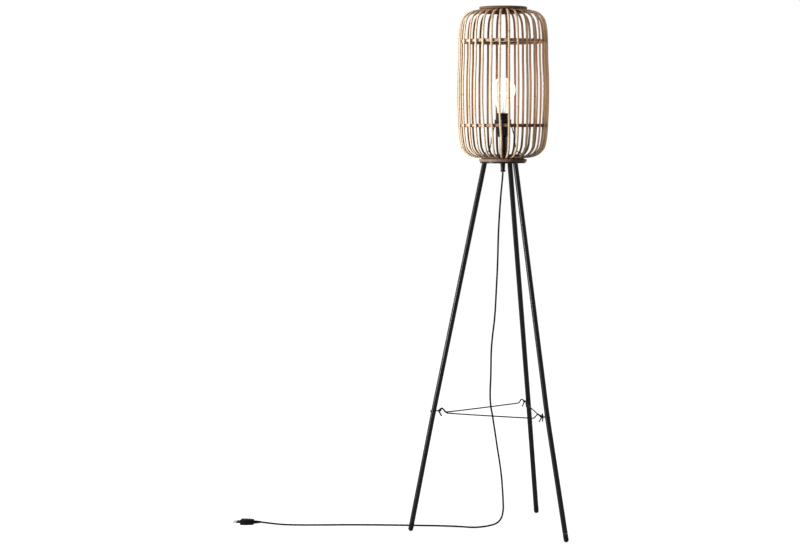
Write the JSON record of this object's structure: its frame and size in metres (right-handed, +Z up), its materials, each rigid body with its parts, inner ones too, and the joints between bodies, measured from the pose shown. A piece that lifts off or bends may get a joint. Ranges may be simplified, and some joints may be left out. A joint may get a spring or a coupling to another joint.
{
  "type": "tripod floor lamp",
  "caption": "Floor lamp with a tall rounded cage shade of thin vertical slats over a lit bulb, on a slim black tripod whose legs are tied by thin hooked wires, with a trailing cord.",
  "frame": {"origin": "on the floor, at the middle of the box round the lamp without its cord and plug", "axes": "+Z up along the lamp, +Y towards the back leg, +X to the right seen from the front"},
  "size_m": [0.8636, 0.4669, 1.2979],
  "materials": {
    "slat": "satin clear lacquer on pale split cane",
    "hoop": "satin clear lacquer",
    "dark_ring": "dark brown stain, satin",
    "dark_wire": "dark satin wire",
    "black_metal": "satin black powder coat",
    "black_plastic": "fine matte black",
    "socket_brass": "plain",
    "lit_glass": "clear bulb glass, lit",
    "bulb_metal": "bright",
    "filament": "lit",
    "cord": "smooth black sheath"
  },
  "bodies": {
    "stand": {"brace_back_right": "dark_wire", "brace_left_back": "dark_wire", "brace_left_right": "dark_wire", "cord": "cord", "cord_grip": "black_plastic", "eye_bolt_back": "dark_wire", "eye_bolt_left": "dark_wire", "eye_bolt_right": "dark_wire", "foot_back": "black_plastic", "foot_left": "black_plastic", "foot_right": "black_plastic", "holder_cap": "black_plastic", "holder_insert": "socket_brass", "holder_skirt": "black_plastic", "leg_back": "black_metal", "leg_left": "black_metal", "leg_right": "black_metal", "lower_hoop": "hoop", "plug": "cord", "rib_01": "slat", "rib_02": "slat", "rib_03": "slat", "rib_04": "slat", "rib_05": "slat", "rib_06": "slat", "rib_07": "slat", "rib_08": "slat", "rib_09": "slat", "rib_10": "slat", "rib_11": "slat", "rib_12": "slat", "rib_13": "slat", "rib_14": "slat", "rib_15": "slat", "rib_16": "slat", "rib_17": "slat", "rib_18": "slat", "rib_19": "slat", "rib_20": "slat", "rib_21": "slat", "rib_22": "slat", "rib_23": "slat", "rib_24": "slat", "rib_25": "slat", "rib_26": "slat", "rib_27": "slat", "rib_28": "slat", "rib_29": "slat", "rib_30": "slat", "shade_bottom_ring": "dark_ring", "shade_spider": "dark_wire", "shade_top_ring": "dark_ring", "stem_tube": "black_metal", "top_plate": "black_metal", "upper_hoop": "hoop"},
    "ring_nut": {"holder_ring_nut": "black_plastic"},
    "bulb_lift": {"bulb_contact": "bulb_metal"},
    "bulb": {"bulb_cap": "bulb_metal", "bulb_glass": "lit_glass", "filament": "filament"}
  },
  "joints": [
    {"name": "ring_nut_turn", "type": "hinge", "parent": "stand", "child": "ring_nut", "pos_m": [-0.00553, -0.05704, 1.0149], "axis": [0, 0, 1], "range_deg": [0, 360]},
    {"name": "bulb_rise", "type": "slide", "parent": "stand", "child": "bulb_lift", "axis": [0, 0, 1], "range_m": [0, 0.0181]},
    {"name": "bulb_turn", "type": "hinge", "parent": "bulb_lift", "child": "bulb", "pos_m": [-0.00553, -0.05704, 1.025], "axis": [0, 0, 1], "range_deg": [0, 1800]}
  ],
  "couplings": [
    {"joint": "bulb_rise", "follows": "bulb_turn", "m_per_rad": 0.000576}
  ]
}
